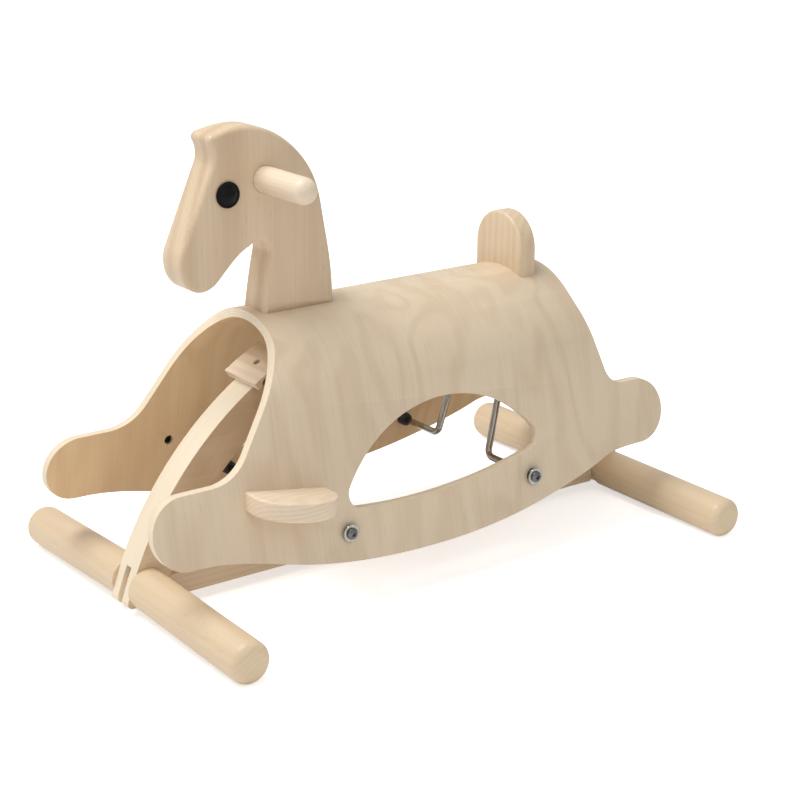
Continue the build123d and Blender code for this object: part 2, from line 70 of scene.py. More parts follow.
WELD = 2e-6             # corners closer than this are one corner
SKIN = 0.0004           # thickness of a plywood's outermost veneer
GLUE_SHADE = 0.6        # glue lines, pores and flecks are the dark wood's colour times these
PORE_SHADE = 0.55
FLECK_SHADE = 0.62
RIM_SHARE = 0.97        # a screw's points further out than this share of its head are on the head's rim
FLOOR_REACH = 30.0
LIGHT_TARGET = (0, 0, 0.15)
KEY_PLACE, KEY_WIDTH = (-0.35, -0.85, 2.3), 1.3
FILL_PLACE, FILL_WIDTH = (1.9, -0.6, 1.0), 1.4

# places that the finishes need, read from the frame's own boxes
SHELL_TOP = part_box("saddle_shell")[1].z
ARCH_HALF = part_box("arch_frame")[1].x
PEG_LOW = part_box("handle_peg")[0]
HEAD_LOW, HEAD_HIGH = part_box("head")


# ---- what a user would change --------------------------------------------------------------

def colour(name, description, value):
    """A colour setting, in linear red, green and blue."""
    return bpy.props.FloatVectorProperty(name=name, description=description, subtype="COLOR",
                                         size=3, min=0, max=1, default=value)


def length(name, description, value):
    """A length setting in metres."""
    return bpy.props.FloatProperty(name=name, description=description, default=value, min=0,
                                   unit="LENGTH", precision=4)


class HORSE_PG_timber(bpy.types.PropertyGroup):
    """Colours and layers of the wooden pieces."""
    veneer: colour("Saddle veneer", "Outer face of the bent saddle", (0.745, 0.610, 0.440))
    veneer_figure: colour("Saddle figure", "Darker figure in the outer veneer", (0.600, 0.440, 0.290))
    lining: colour("Saddle lining", "Inner face of the bent saddle", (0.800, 0.585, 0.345))
    lining_figure: colour("Lining figure", "Darker figure in the inner face", (0.620, 0.405, 0.215))
    layer_pale: colour("Pale layer", "Long-grain layers in a cut plywood edge", (0.860, 0.740, 0.560))
    layer_dark: colour("Dark layer", "End-grain layers in a cut plywood edge", (0.680, 0.520, 0.350))
    board: colour("Board", "Head and backrest boards", (0.730, 0.575, 0.395))
    board_figure: colour("Board figure", "Growth lines in the boards", (0.520, 0.345, 0.205))
    turned: colour("Turned wood", "Peg, footrests and caps", (0.830, 0.690, 0.520))
    turned_figure: colour("Turned figure", "Growth lines in the turned wood", (0.680, 0.500, 0.340))
    bar: colour("Floor bars", "Bars and beam on the floor", (0.735, 0.580, 0.390))
    bar_figure: colour("Bar figure", "Growth lines in the bars and the beam", (0.640, 0.455, 0.295))
    ply: length("Saddle thickness", "Thickness of the bent plywood", 0.009)
    bend: length("Bend radius", "Outer radius of the saddle's top", 0.0896)
    flare: bpy.props.FloatProperty(name="Flare", description="How far each flank leans out",
                                   default=radians(12.3), subtype="ANGLE")
    saddle_layer: length("Saddle layer", "Thickness of one layer of the saddle", 0.00129)
    arch_layer: length("Arch layer", "Thickness of one layer of the arch", 0.00172)


class HORSE_PG_edges(bpy.types.PropertyGroup):
    """How far the edges of the pieces are eased."""
    saddle: length("Saddle edges", "Rounding of the saddle's cut edges", 0.0011)
    arch: length("Arch edges", "Rounding of the arch's edges", 0.0012)
    board: length("Board edges", "Rounding of small edges on boards", 0.0006)
    steps: bpy.props.IntProperty(name="Steps", description="Faces across one rounded edge",
                                 default=3, min=1, max=6)
    socket: bpy.props.FloatProperty(name="Socket", description="Key socket, as a share of a screw's head",
                                    default=0.46, min=0.2, max=0.7, subtype="FACTOR")


class HORSE_PG_stage(bpy.types.PropertyGroup):
    """Camera and studio light."""
    eye: bpy.props.FloatVectorProperty(name="Camera", description="Place of the camera", subtype="XYZ",
                                       unit="LENGTH", default=(1.4565, -1.0665, 0.7490))
    aim: bpy.props.FloatVectorProperty(name="Aim", description="Point that the camera looks at",
                                       subtype="XYZ", unit="LENGTH", default=(-0.0603, 0.0599, 0.1229))
    roll: bpy.props.FloatProperty(name="Roll", description="Turn of the camera about its own axis",
                                  default=radians(0.35), subtype="ANGLE")
    focal: bpy.props.FloatProperty(name="Focal length", description="Lens, on a 36 mm sensor",
                                   default=85.54, min=10, max=300)
    sky: bpy.props.FloatProperty(name="Sky", description="Strength of the even light", default=0.52, min=0)
    backdrop: bpy.props.FloatProperty(name="Backdrop", description="Brightness of what shows behind",
                                      default=1.1, min=0)
    floor_glow: bpy.props.FloatProperty(name="Floor glow", description="How far its shadows are lifted",
                                        default=0.55, min=0)
    key: bpy.props.FloatProperty(name="Key light", description="Large lamp above the front", default=40.0,
                                 min=0, unit="POWER")
    fill: bpy.props.FloatProperty(name="Fill light", description="Lamp on the camera's side", default=3.0,
                                  min=0, unit="POWER")


# ---- materials -------------------------------------------------------------------------------

def shaded(tint, share):
    """A colour times a share."""
    return tuple(channel * share for channel in tint)


class Finish:
    """A material being built, with short calls for its nodes."""

    def __init__(self, name):
        self.material = bpy.data.materials.new(name)
        self.material.use_nodes = True
        self.tree = self.material.node_tree
        self.shader = self.tree.nodes["Principled BSDF"]
        self.place = self.add("ShaderNodeTexCoord").outputs["Object"]
        self.axes = self.add("ShaderNodeSeparateXYZ")
        self.tree.links.new(self.place, self.axes.inputs[0])
        self.x, self.y, self.z = self.axes.outputs

    def add(self, kind, **settings):
        node = self.tree.nodes.new(kind)
        for key, value in settings.items():
            setattr(node, key, value)
        return node

    def feed(self, value, socket):
        """Link a socket to a node's output, or set it to a constant."""
        if isinstance(value, bpy.types.NodeSocket):
            self.tree.links.new(value, socket)
        else:
            socket.default_value = value

    def math(self, operation, *values, clamp=False):
        node = self.add("ShaderNodeMath", operation=operation, use_clamp=clamp)
        for value, socket in zip(values, node.inputs):
            self.feed(value, socket)
        return node.outputs[0]

    def swing(self, pattern, middle, amount):
        """How far a pattern is from its middle, times an amount."""
        return self.math("MULTIPLY", self.math("SUBTRACT", pattern, middle), amount)

    def mix(self, share, first, second):
        """Colour between two colours."""
        node = self.add("ShaderNodeMix", data_type="RGBA")
        self.feed(share, node.inputs[0])
        for value, socket in ((first, node.inputs[6]), (second, node.inputs[7])):
            self.feed(value if isinstance(value, bpy.types.NodeSocket) else (*value, 1), socket)
        return node.outputs[2]

    def step(self, value, low, high):
        """0 below low, 1 above high, smooth between."""
        node = self.add("ShaderNodeMapRange", interpolation_type="SMOOTHSTEP")
        for given, socket in zip((value, low, high), node.inputs):
            self.feed(given, socket)
        return node.outputs[0]

    def noise(self, waves, detail=2.0, roughness=0.5, shift=0.0):
        """Noise with this many waves per metre along x, y and z."""
        mapping = self.add("ShaderNodeMapping")
        self.feed(self.place, mapping.inputs["Vector"])
        mapping.inputs["Scale"].default_value = waves
        mapping.inputs["Location"].default_value = (shift, shift * 0.7, shift * 1.3)
        node = self.add("ShaderNodeTexNoise")
        self.feed(mapping.outputs[0], node.inputs["Vector"])
        node.inputs["Scale"].default_value = 1.0
        node.inputs["Detail"].default_value = detail
        node.inputs["Roughness"].default_value = roughness
        return node.outputs["Fac"]

    def along(self, axis, slow, fast):
        """Waves per metre: slow along the grain's axis, and fast across it."""
        return tuple(slow if name == axis else fast for name in "xyz")

    def bump(self, height, strength, depth):
        node = self.add("ShaderNodeBump")
        node.inputs["Strength"].default_value = strength
        node.inputs["Distance"].default_value = depth
        self.feed(height, node.inputs["Height"])
        self.feed(node.outputs[0], self.shader.inputs["Normal"])

    def polish(self, roughness_low, roughness_high, amount):
        """Roughness that changes with a pattern."""
        span = self.math("MULTIPLY", amount, roughness_high - roughness_low)
        self.feed(self.math("ADD", span, roughness_low), self.shader.inputs["Roughness"])


def grown(finish, axis, pith, spacing, shift):
    """Growth rings about a line along the axis: 0 in early wood, 1 in late wood."""
    across = [(finish.x, finish.y, finish.z)["xyz".index(name)] for name in "xyz" if name != axis]
    squares = [finish.math("POWER", finish.math("SUBTRACT", value, centre), 2.0)
               for value, centre in zip(across, pith)]
    distance = finish.math("SQRT", finish.math("ADD", *squares))
    wander = finish.math("MULTIPLY", finish.noise(finish.along(axis, 3, 14), 1.5, shift=shift), 0.016)
    turns = finish.math("DIVIDE", finish.math("ADD", distance, wander), spacing)
    wave = finish.math("SINE", finish.math("MULTIPLY", turns, 2 * pi))
    return finish.step(wave, -0.7, 1.25)


def peeled(finish, axis, shift):
    """Figure of a rotary-cut veneer: contour lines of a slow field, drawn out along the grain."""
    field = finish.noise(finish.along(axis, 2.2, 11), 2.0, 0.45, shift)
    wave = finish.math("SINE", finish.math("MULTIPLY", field, 46.0))
    return finish.step(wave, -0.6, 1.4)


def timber(finish, axis, rings, pale, dark, figure, shift, pores):
    """Colour of wood from its growth pattern, with fibres, soft patches and short pores. Also its relief."""
    fibres = finish.noise(finish.along(axis, 9, 620), 3.0, 0.6, shift)
    patches = finish.noise(finish.along(axis, 4, 17), 2.0, shift=shift + 5)
    specks = finish.step(finish.noise(finish.along(axis, 70, 1500), 1.0, shift=shift + 9), 0.66, 0.76)
    spread = finish.step(finish.noise(finish.along(axis, 12, 60), 1.0, shift=shift + 2), 0.42, 0.68)
    share = finish.math("MULTIPLY", rings, figure)
    share = finish.math("ADD", share, finish.swing(fibres, 0.5, 0.7))
    share = finish.math("ADD", share, finish.swing(patches, 0.42, 0.9), clamp=True)
    wood = finish.mix(share, pale, dark)
    dashes = finish.math("MULTIPLY", finish.math("MULTIPLY", specks, spread), pores)
    wood = finish.mix(dashes, wood, shaded(dark, PORE_SHADE))
    relief = finish.math("SUBTRACT", finish.math("MULTIPLY", fibres, 0.6), dashes)
    return wood, relief


def varnish(finish, wood, relief):
    """Clear satin lacquer over wood."""
    finish.feed(wood, finish.shader.inputs["Base Color"])
    finish.polish(0.36, 0.52, relief)
    finish.shader.inputs["Specular IOR Level"].default_value = 0.5
    finish.bump(relief, 0.22, 0.00025)
    return finish.material


def solid_wood(name, axis, pith, spacing, pale, dark, figure, shift, pores=0.45):
    """Lacquered solid wood: one growth pattern for faces and end grain alike."""
    finish = Finish(name)
    rings = grown(finish, axis, pith, spacing, shift)
    wood, relief = timber(finish, axis, rings, pale, dark, figure, shift, pores)
    return varnish(finish, wood, relief)


def layered_edge(finish, depth, layer, pale, dark, contrast, streak_waves):
    """Colour of a cut plywood edge: long-grain and end-grain layers in turn, with thin glue lines."""
    wobble = finish.math("MULTIPLY", finish.noise((25, 25, 25), 1.0, shift=3), layer * 0.5)
    count = finish.math("DIVIDE", finish.math("ADD", depth, wobble), layer)
    turn = finish.math("PINGPONG", count, 1.0)
    streaks = finish.noise(streak_waves, 2.0, shift=4)
    share = finish.math("ADD", finish.math("MULTIPLY", finish.step(turn, 0.30, 0.62), contrast),
                        finish.swing(streaks, 0.5, 0.6), clamp=True)
    wood = finish.mix(share, pale, dark)
    glue = finish.step(finish.math("ABSOLUTE", finish.math("SUBTRACT", turn, 0.5)), 0.07, 0.0)
    return finish.mix(finish.math("MULTIPLY", glue, contrast * 0.5), wood, shaded(dark, GLUE_SHADE))


def saddle_depth(finish, timber_looks):
    """How deep a point lies under the saddle's outer face, round its bend and down its leaning flanks."""
    lean = timber_looks.flare
    centre_z = SHELL_TOP - timber_looks.bend
    side = finish.math("ABSOLUTE", finish.x)
    rise = finish.math("SUBTRACT", finish.z, centre_z)
    flat = finish.math("ADD", finish.math("MULTIPLY", side, cos(lean)),
                       finish.math("MULTIPLY", rise, sin(lean)))
    bent = finish.math("SQRT", finish.math("ADD", finish.math("POWER", side, 2.0),
                                           finish.math("POWER", rise, 2.0)))
    on_flank = finish.math("GREATER_THAN", finish.math("MULTIPLY", side, sin(lean)),
                           finish.math("MULTIPLY", rise, cos(lean)))
    radial = finish.math("ADD", finish.math("MULTIPLY", flat, on_flank),
                         finish.math("MULTIPLY", bent, finish.math("SUBTRACT", 1.0, on_flank)))
    return finish.math("SUBTRACT", timber_looks.bend, radial)


def saddle_plywood(looks):
    """Bent plywood: veneer outside, a warmer lining inside, and layers on every cut edge."""
    finish = Finish("saddle_plywood")
    depth = saddle_depth(finish, looks)
    # the veneer's grain runs round the bend, and so across the horse's length
    outer_rings = peeled(finish, "z", 2.0)
    fibres = finish.noise((7, 560, 7), 3.0, 0.6, 1.0)
    clouds = finish.noise((5, 16, 5), 2.5, 0.5, 6.0)
    flecks = finish.step(finish.noise((46, 1300, 46), 1.0, shift=8.0), 0.68, 0.78)
    share = finish.math("ADD", finish.math("MULTIPLY", outer_rings, 0.34), finish.swing(fibres, 0.48, 0.65))
    share = finish.math("ADD", share, finish.swing(clouds, 0.42, 0.65), clamp=True)
    outer = finish.mix(share, looks.veneer, looks.veneer_figure)
    inner = finish.mix(share, looks.lining, looks.lining_figure)
    outer = finish.mix(finish.math("MULTIPLY", flecks, 0.30), outer, shaded(looks.veneer_figure, FLECK_SHADE))
    edge = layered_edge(finish, depth, looks.saddle_layer, looks.layer_pale, looks.layer_dark,
                        contrast=0.32, streak_waves=(300, 60, 300))
    below_skin = finish.math("GREATER_THAN", depth, SKIN)
    at_lining = finish.math("GREATER_THAN", depth, looks.ply - SKIN)
    wood = finish.mix(below_skin, outer, edge)
    wood = finish.mix(at_lining, wood, inner)
    return varnish(finish, wood, finish.math("SUBTRACT", fibres, finish.math("MULTIPLY", flecks, 0.5)))


def arch_plywood(looks):
    """Laminated board: tan faces on its two sides, and fine layers along its curved edges."""
    finish = Finish("arch_plywood")
    side = finish.math("ABSOLUTE", finish.x)
    rings = peeled(finish, "y", 11.0)
    face, relief = timber(finish, "y", rings, looks.board, looks.board_figure,
                          figure=0.30, shift=12.0, pores=0.3)
    edge = layered_edge(finish, finish.math("ADD", finish.x, 1.0), looks.arch_layer,
                        looks.layer_pale, looks.layer_dark, contrast=0.08, streak_waves=(480, 9, 9))
    on_face = finish.math("GREATER_THAN", side, ARCH_HALF - SKIN)
    return varnish(finish, finish.mix(on_face, edge, face), relief)


def polished_steel():
    """Drawn steel rod, polished, with faint lengthwise streaks, its colour darkened as painted reflection of
    dark surroundings.
    """
    finish = Finish("polished_steel")
    streaks = finish.noise((300, 300, 40), 2.0, 0.6)
    # painted reflection: the base colour runs dark along the streaks to stand in for dark surroundings
    # mirrored in the rod; the streaks are also real drawing marks
    tone = finish.mix(streaks, (0.26, 0.25, 0.23), (0.62, 0.60, 0.56))
    finish.feed(tone, finish.shader.inputs["Base Color"])
    finish.shader.inputs["Metallic"].default_value = 1.0
    finish.polish(0.14, 0.26, streaks)
    finish.bump(streaks, 0.05, 0.0001)
    return finish.material


def plated(name, dark, pale):
    """Plated steel: grey with a soft, cloudy sheen."""
    finish = Finish(name)
    clouds = finish.noise((900, 900, 900), 3.0, 0.6)
    finish.feed(finish.mix(clouds, dark, pale), finish.shader.inputs["Base Color"])
    finish.shader.inputs["Metallic"].default_value = 1.0
    finish.polish(0.24, 0.42, clouds)
    finish.bump(clouds, 0.08, 0.0001)
    return finish.material


def black_plastic():
    """Moulded nylon, satin, with a faint moulded texture."""
    finish = Finish("black_plastic")
    grain = finish.noise((1400, 1400, 1400), 2.0)
    finish.feed(finish.mix(grain, (0.012, 0.012, 0.013), (0.030, 0.030, 0.031)),
                finish.shader.inputs["Base Color"])
    finish.polish(0.36, 0.50, grain)
    finish.bump(grain, 0.12, 0.0001)
    return finish.material


def eye_gloss():
    """Glossy black enamel, very slightly uneven."""
    finish = Finish("eye_gloss")
    swirl = finish.noise((160, 160, 160), 2.0)
    finish.feed(finish.mix(swirl, (0.004, 0.004, 0.005), (0.012, 0.012, 0.013)),
                finish.shader.inputs["Base Color"])
    finish.polish(0.07, 0.14, swirl)
    finish.shader.inputs["Specular IOR Level"].default_value = 0.10
    finish.bump(swirl, 0.03, 0.0002)
    return finish.material


# ---- pieces --------------------------------------------------------------------------------------

def adopt(piece, node, material):
    """The piece stands for a CAD node: same body, its own finish."""
    piece.data.materials.clear()
    piece.data.materials.append(material)
    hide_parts(node)
    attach(piece, BODY_OF[node])
    return piece


def plain_mesh(piece):
    """Replace a piece's modifiers by the shape they give."""
    evaluated = piece.evaluated_get(bpy.context.evaluated_depsgraph_get())
    mesh = bpy.data.meshes.new_from_object(evaluated)
    piece.modifiers.clear()
    piece.data = mesh


def finished_copy(node, material, rounding=0.0, crease=30.0):
    """A node's shape as one clean mesh, with its sharp edges rounded and its curved faces smooth."""
    shape = bmesh.new()
    shape.from_mesh(frame["nodes"][node].data)
    bmesh.ops.remove_doubles(shape, verts=shape.verts, dist=WELD)
    if rounding:
        bmesh.ops.dissolve_limit(shape, angle_limit=radians(0.2), verts=shape.verts, edges=shape.edges)
    mesh = bpy.data.meshes.new(f"{node}_shape")
    shape.to_mesh(mesh)
    shape.free()
    piece = bpy.data.objects.new(f"{node}_finished", mesh)
    bpy.context.scene.collection.objects.link(piece)
    mesh.shade_smooth()
    if rounding:
        steps = bpy.context.scene.horse_edges.steps
        bevel = piece.modifiers.new("Rounded edges", "BEVEL")
        bevel.width = rounding
        bevel.segments = steps
        bevel.limit_method = "ANGLE"
        bevel.angle_limit = radians(crease)
        bevel.use_clamp_overlap = True
        bevel.harden_normals = True
        plain_mesh(piece)
    else:
        mesh.set_sharp_from_angle(angle=radians(crease))
    return adopt(piece, node, material)


def paint(node, material):
    """Give a CAD node that keeps its own shape its finish."""
    for slot in frame["nodes"][node].material_slots:
        slot.material = material


def turned(rings, segments=48):
    """Closed mesh from rings of (radius at an angle, height), first and last drawn in to the axis."""
    shape = bmesh.new()
    loops = []
    for radius, height in rings:
        loop = []
        for k in range(segments):
            angle = 2 * pi * k / segments
            r = radius(angle) if callable(radius) else radius
            loop.append(shape.verts.new((r * cos(angle), r * sin(angle), height)))
        loops.append(loop)
    for low, high in zip(loops, loops[1:]):
        for k in range(segments):
            after = (k + 1) % segments
            shape.faces.new((low[k], low[after], high[after], high[k]))
    shape.faces.new(list(reversed(loops[0])))
    shape.faces.new(loops[-1])
    bmesh.ops.recalc_face_normals(shape, faces=shape.faces)
    mesh = bpy.data.meshes.new("turned_shape")
    shape.to_mesh(mesh)
    shape.free()
    mesh.shade_smooth()
    mesh.set_sharp_from_angle(angle=radians(38))
    return mesh


def loose_parts(mesh):
    """Vertex places of each separate solid in a mesh."""
    shape = bmesh.new()
    shape.from_mesh(mesh)
    bmesh.ops.remove_doubles(shape, verts=shape.verts, dist=WELD)
    waiting = set(shape.verts)
    parts = []
    while waiting:
        start = waiting.pop()
        found, front = [start], [start]
        while front:
            near = [edge.other_vert(vert) for vert in front for edge in vert.link_edges]
            front = [vert for vert in set(near) if vert in waiting]
            waiting.difference_update(front)
            found += front
        parts.append(np.array([vert.co for vert in found]))
    shape.free()
    return sorted(parts, key=lambda part: tuple(part.mean(0).round(4)))


def screw_facts(points):
    """Seat, outward direction and sizes of one screw, measured on its solid."""
    centre = points.mean(0)
    axis = np.linalg.svd(points - centre, full_matrices=False)[2][0]
    reach = (points - centre) @ axis
    radius = np.linalg.norm(points - centre - np.outer(reach, axis), axis=1)
    if reach[radius.argmax()] < (reach.min() + reach.max()) / 2:
        axis, reach = -axis, -reach
    head = radius.max()
    seat = reach[radius > head * RIM_SHARE].min()
    middle = points[radius > head * RIM_SHARE].mean(0)
    line = middle - axis * ((middle - centre) @ axis)
    return {"seat": line + axis * seat, "out": axis, "head": head, "height": reach.max() - seat,
            "shank": radius[reach < seat - 0.001].max(), "length": seat - reach.min()}


def screw_mesh(facts, socket):
    """Domed screw with a six-sided key socket, its head's underside at height zero."""
    head, height, shank, reach = (facts[key] for key in ("head", "height", "shank", "length"))
    key_size = head * socket

    def hexagon(angle):
        return key_size * cos(radians(30)) / cos((angle + pi / 6) % (pi / 3) - pi / 6)

    dome = [(head * cos(t) * 0.995 + head * 0.005, height * (0.42 + 0.52 * sin(t)))
            for t in (radians(a) for a in (0, 18, 36, 50))]
    tip = [(0.0002, -reach), (shank * 0.55, -reach + shank * 0.9), (shank, -reach + shank * 2)]
    flange = [(shank, 0.0), (head * 0.95, 0.0), (head, height * 0.10)]
    key = [(key_size * 1.12, height * 0.97), (hexagon, height * 0.93), (hexagon, height * 0.36),
           (key_size * 0.2, height * 0.28)]
    return turned([*tip, *flange, *dome, *key])


def screw_tree(material):
    """Node tree that sets a screw on every point, along the point's direction, each turned its own way."""
    tree = bpy.data.node_groups.new("set_screws", "GeometryNodeTree")
    sockets = tree.interface
    sockets.new_socket("Points", in_out="INPUT", socket_type="NodeSocketGeometry")
    sockets.new_socket("Screw", in_out="INPUT", socket_type="NodeSocketObject")
    size = sockets.new_socket("Size", in_out="INPUT", socket_type="NodeSocketFloat")
    size.default_value = 1.0
    sockets.new_socket("Screws", in_out="OUTPUT", socket_type="NodeSocketGeometry")
    add, link = tree.nodes.new, tree.links.new
    given = add("NodeGroupInput")
    direction = add("GeometryNodeInputNamedAttribute")
    direction.data_type = "FLOAT_VECTOR"
    direction.inputs["Name"].default_value = "outward"
    aim = add("FunctionNodeAlignRotationToVector")
    aim.axis = "Z"
    link(direction.outputs[0], aim.inputs["Vector"])
    turn = add("FunctionNodeRandomValue")
    turn.data_type = "FLOAT"
    turn.inputs[3].default_value = pi / 3
    turn.inputs["Seed"].default_value = 7
    own_turn = add("FunctionNodeAxisAngleToRotation")
    own_turn.inputs["Axis"].default_value = (0, 0, 1)
    link(turn.outputs[1], own_turn.inputs["Angle"])
    rotate = add("FunctionNodeRotateRotation")
    rotate.rotation_space = "LOCAL"
    link(aim.outputs[0], rotate.inputs[0])
    link(own_turn.outputs[0], rotate.inputs[1])
    screw = add("GeometryNodeObjectInfo")
    link(given.outputs["Screw"], screw.inputs["Object"])
    place = add("GeometryNodeInstanceOnPoints")
    link(given.outputs["Points"], place.inputs["Points"])
    link(screw.outputs["Geometry"], place.inputs["Instance"])
    link(rotate.outputs[0], place.inputs["Rotation"])
    link(given.outputs["Size"], place.inputs["Scale"])
    real = add("GeometryNodeRealizeInstances")
    link(place.outputs[0], real.inputs[0])
    coat = add("GeometryNodeSetMaterial")
    coat.inputs["Material"].default_value = material
    link(real.outputs[0], coat.inputs["Geometry"])
    done = add("NodeGroupOutput")
    link(coat.outputs[0], done.inputs[0])
    return tree


def set_screws(node, tree, material):
    """Stand a fresh screw where each of a node's screws is."""
    facts = [screw_facts(part) for part in loose_parts(frame["nodes"][node].data)]
    sample = bpy.data.objects.new("sample_screw", screw_mesh(facts[0], bpy.context.scene.horse_edges.socket))
    mesh = bpy.data.meshes.new(f"{node}_places")
    mesh.from_pydata([tuple(fact["seat"]) for fact in facts], [], [])
    outward = mesh.attributes.new("outward", "FLOAT_VECTOR", "POINT")
    for item, fact in zip(outward.data, facts):
        item.vector = fact["out"]
    piece = bpy.data.objects.new(f"{node}_finished", mesh)
    bpy.context.scene.collection.objects.link(piece)
    modifier = piece.modifiers.new("Screws", "NODES")
    modifier.node_group = tree
    named = {item.name: item.identifier for item in tree.interface.items_tree if item.in_out == "INPUT"}
    modifier[named["Screw"]] = sample
    modifier[named["Size"]] = 1.0
    plain_mesh(piece)
    bpy.data.objects.remove(sample)
    adopt(piece, node, material)


class HORSE_OT_saddle(bpy.types.Operator):
    """Finish the bent plywood saddle and its bushes"""
    bl_idname = "horse.saddle"
    bl_label = "Saddle"

    def execute(self, context):
        finished_copy("saddle_shell", saddle_plywood(context.scene.horse_timber),
                      context.scene.horse_edges.saddle)
        plastic = black_plastic()
        for end in ("front", "rear"):
            finished_copy(f"{end}_wall_bushes", plastic)
        return {"FINISHED"}


class HORSE_OT_head(bpy.types.Operator):
    """Finish the head board, its peg and its eyes"""
    bl_idname = "horse.head"
    bl_label = "Head"

    def execute(self, context):
        looks = context.scene.horse_timber
        middle = (HEAD_LOW + HEAD_HIGH) / 2
        board = solid_wood("head_board", "z", pith=(0.35, middle.y + 0.1), spacing=0.021,
                           pale=looks.board, dark=looks.board_figure, figure=0.34, shift=21.0, pores=0.5)
        finished_copy("head", board)
        peg = solid_wood("peg_wood", "x", pith=(PEG_LOW.y - 0.006, PEG_LOW.z - 0.012), spacing=0.0036,
                         pale=looks.turned, dark=looks.turned_figure, figure=0.12, shift=31.0, pores=0.4)
        finished_copy("handle_peg", peg)
        gloss = eye_gloss()
        for side in ("left", "right"):
            finished_copy(f"eye_{side}", gloss)
        paint("head_dowels", peg)
        return {"FINISHED"}


class HORSE_OT_seat_fittings(bpy.types.Operator):
    """Finish the backrest and the two footrests"""
    bl_idname = "horse.seat_fittings"
    bl_label = "Seat fittings"

    def execute(self, context):
        looks = context.scene.horse_timber
        rounding = context.scene.horse_edges.board
        back_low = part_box("backrest")[0]
        backrest = solid_wood("backrest_wood", "z", pith=(back_low.x - 0.03, back_low.y - 0.05),
                              spacing=0.0085, pale=looks.board, dark=looks.board_figure,
                              figure=0.20, shift=41.0, pores=0.5)
        finished_copy("backrest", backrest, rounding)
        rest_low, rest_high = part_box("footrest_left")
        for side, sign in (("left", 1), ("right", -1)):
            footrest = solid_wood(f"footrest_wood_{side}", "y",
                                  pith=(sign * rest_high.x, rest_low.z - 0.03), spacing=0.0042,
                                  pale=looks.turned, dark=looks.turned_figure,
                                  figure=0.30, shift=50.0 + sign, pores=0.35)
            finished_copy(f"footrest_{side}", footrest, rounding)
        return {"FINISHED"}


class HORSE_OT_floor_frame(bpy.types.Operator):
    """Finish the arch, the beam, the floor bars and the caps over the rods"""
    bl_idname = "horse.floor_frame"
    bl_label = "Floor frame"

    def execute(self, context):
        looks = context.scene.horse_timber
        edges = context.scene.horse_edges
        finished_copy("arch_frame", arch_plywood(looks), edges.arch)
        beam = solid_wood("beam_wood", "y", pith=(0.02, -0.05), spacing=0.0060,
                          pale=looks.bar, dark=looks.bar_figure, figure=0.45, shift=61.0)
        finished_copy("base_beam", beam, edges.board)
        for number, end in enumerate(("front", "rear")):
            for side in ("left", "right"):
                low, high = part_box(f"{end}_bar_{side}")
                heart = ((low.y + high.y) / 2 + 0.016, -0.012)
                bar = solid_wood(f"{end}_bar_wood_{side}", "x", pith=heart, spacing=0.0052,
                                 pale=looks.bar, dark=looks.bar_figure, figure=0.20,
                                 shift=70.0 + 3 * number + len(side))
                finished_copy(f"{end}_bar_{side}", bar)
            cap = solid_wood(f"{end}_cap_wood", "x", pith=(0.0, 0.12), spacing=0.0050,
                             pale=looks.turned, dark=looks.turned_figure, figure=0.5, shift=80.0 + number)
            finished_copy(f"{end}_rod_cap", cap, edges.board)
        plastic, plate = black_plastic(), plated("zinc_plate", *ZINC_WITH_PAINTED_REFLECTION)
        for end in ("front", "rear"):
            paint(f"{end}_rod_sleeve", plastic)
            paint(f"{end}_bar_stud", plate)
        return {"FINISHED"}


class HORSE_OT_swing_rods(bpy.types.Operator):
    """Finish the two steel rods with their collars and washers"""
    bl_idname = "horse.swing_rods"
    bl_label = "Swing rods"

    def execute(self, context):
        steel, plastic = polished_steel(), black_plastic()
        for end in ("front", "rear"):
            finished_copy(f"{end}_swing_rod", steel)
            finished_copy(f"{end}_rod_collars", plastic)
            finished_copy(f"{end}_rod_washers", steel)
        return {"FINISHED"}


class HORSE_OT_screws(bpy.types.Operator):
    """Set every screw, each in its place"""
    bl_idname = "horse.screws"
    bl_label = "Screws"

    def execute(self, context):
        bright, blackened = plated("zinc_plate", *ZINC_WITH_PAINTED_REFLECTION), plated("black_oxide", *BLACK_OXIDE)
        on_rods = ("front_rod_screws", "rear_rod_screws")
        in_wood = ("cap_screws", "footrest_screws", "head_screws", "backrest_screws")
        for plate, nodes in ((bright, on_rods), (blackened, in_wood)):
            tree = screw_tree(plate)
            for node in nodes:
                set_screws(node, tree, plate)
        return {"FINISHED"}


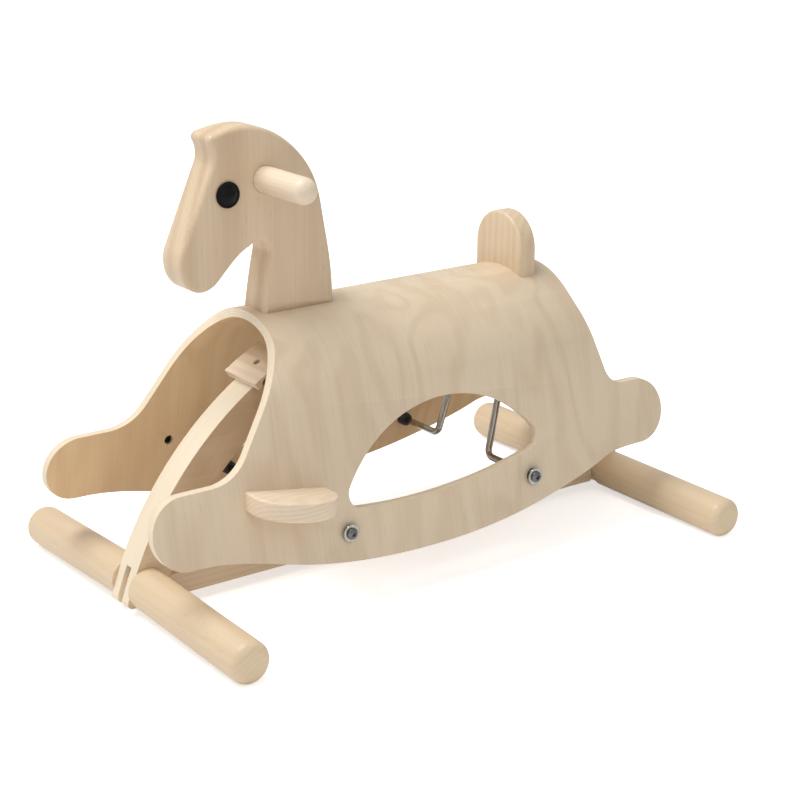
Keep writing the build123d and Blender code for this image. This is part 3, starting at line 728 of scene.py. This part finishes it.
class HORSE_OT_stage(bpy.types.Operator):
    """Set the camera, the soft lights and the pale floor"""
    bl_idname = "horse.stage"
    bl_label = "Stage"

    def lamp(self, name, place, width, power):
        light = bpy.data.lights.new(name, "AREA")
        light.size = width
        light.energy = power
        lamp = bpy.data.objects.new(name, light)
        lamp.location = place
        lamp.rotation_euler = (Vector(LIGHT_TARGET) - Vector(place)).to_track_quat("-Z", "Y").to_euler()
        bpy.context.scene.collection.objects.link(lamp)

    def seen_or_lit(self, tree, seen, lit):
        """One value for what the camera sees, and another for the light that falls on things."""
        path = tree.nodes.new("ShaderNodeLightPath")
        choice = tree.nodes.new("ShaderNodeMix")
        tree.links.new(path.outputs["Is Camera Ray"], choice.inputs[0])
        choice.inputs[2].default_value = lit
        choice.inputs[3].default_value = seen
        return choice.outputs[0]

    def execute(self, context):
        scene, look = context.scene, context.scene.horse_stage
        camera = bpy.data.objects.new("camera", bpy.data.cameras.new("camera"))
        camera.data.sensor_width = 36
        camera.data.lens = look.focal
        camera.location = look.eye
        aim = (Vector(look.aim) - Vector(look.eye)).to_track_quat("-Z", "Y")
        camera.rotation_euler = (aim.to_matrix() @ Matrix.Rotation(look.roll, 3, "Z")).to_euler()
        scene.collection.objects.link(camera)
        scene.camera = camera

        scene.world = bpy.data.worlds.new("studio")
        scene.world.use_nodes = True
        sky = scene.world.node_tree.nodes["Background"]
        sky.inputs["Color"].default_value = (1, 1, 1, 1)
        seen = self.seen_or_lit(scene.world.node_tree, look.backdrop, look.sky)
        scene.world.node_tree.links.new(seen, sky.inputs["Strength"])
        self.lamp("key_light", KEY_PLACE, KEY_WIDTH, look.key)
        self.lamp("fill_light", FILL_PLACE, FILL_WIDTH, look.fill)
        scene.view_settings.view_transform = "Standard"

        floor_mesh = bpy.data.meshes.new("floor")
        corners = [(x * FLOOR_REACH, y * FLOOR_REACH, 0) for x, y in ((-1, -1), (1, -1), (1, 1), (-1, 1))]
        floor_mesh.from_pydata(corners, [], [(0, 1, 2, 3)])
        floor = bpy.data.objects.new("floor", floor_mesh)
        scene.collection.objects.link(floor)
        finish = Finish("pale_floor")
        clouds = finish.noise((3, 3, 3), 2.0)
        finish.feed(finish.mix(clouds, (0.97, 0.97, 0.97), (1.0, 1.0, 1.0)),
                    finish.shader.inputs["Base Color"])
        finish.polish(0.85, 0.95, clouds)
        finish.shader.inputs["Emission Color"].default_value = (1, 1, 1, 1)
        finish.feed(self.seen_or_lit(finish.tree, look.floor_glow, 0.0),
                    finish.shader.inputs["Emission Strength"])
        floor_mesh.materials.append(finish.material)
        return {"FINISHED"}


class HORSE_PT_panel(bpy.types.Panel):
    """Lists the settings and the steps"""
    bl_idname = "HORSE_PT_panel"
    bl_label = "Gliding Rocking Horse"
    bl_space_type = "VIEW_3D"
    bl_region_type = "UI"
    bl_category = "Horse"

    def draw(self, context):
        for operator in OPERATORS:
            self.layout.operator(operator.bl_idname)
        for group in (context.scene.horse_timber, context.scene.horse_edges, context.scene.horse_stage):
            box = self.layout.box()
            for name in group.__annotations__:
                box.prop(group, name)


GROUPS = {"horse_timber": HORSE_PG_timber, "horse_edges": HORSE_PG_edges, "horse_stage": HORSE_PG_stage}
OPERATORS = (HORSE_OT_stage, HORSE_OT_floor_frame, HORSE_OT_swing_rods, HORSE_OT_saddle, HORSE_OT_head,
             HORSE_OT_seat_fittings, HORSE_OT_screws)


def register():
    for cls in (*GROUPS.values(), *OPERATORS, HORSE_PT_panel):
        bpy.utils.register_class(cls)
    for name, group in GROUPS.items():
        setattr(bpy.types.Scene, name, bpy.props.PointerProperty(type=group))


def unregister():
    for name in GROUPS:
        delattr(bpy.types.Scene, name)
    for cls in (HORSE_PT_panel, *reversed(OPERATORS), *reversed(GROUPS.values())):
        bpy.utils.unregister_class(cls)


def main():
    """Make every piece."""
    register()
    bpy.ops.horse.stage()
    bpy.ops.horse.floor_frame()
    bpy.ops.horse.swing_rods()
    bpy.ops.horse.saddle()
    bpy.ops.horse.head()
    bpy.ops.horse.seat_fittings()
    bpy.ops.horse.screws()


if __name__ == "__main__":
    main()
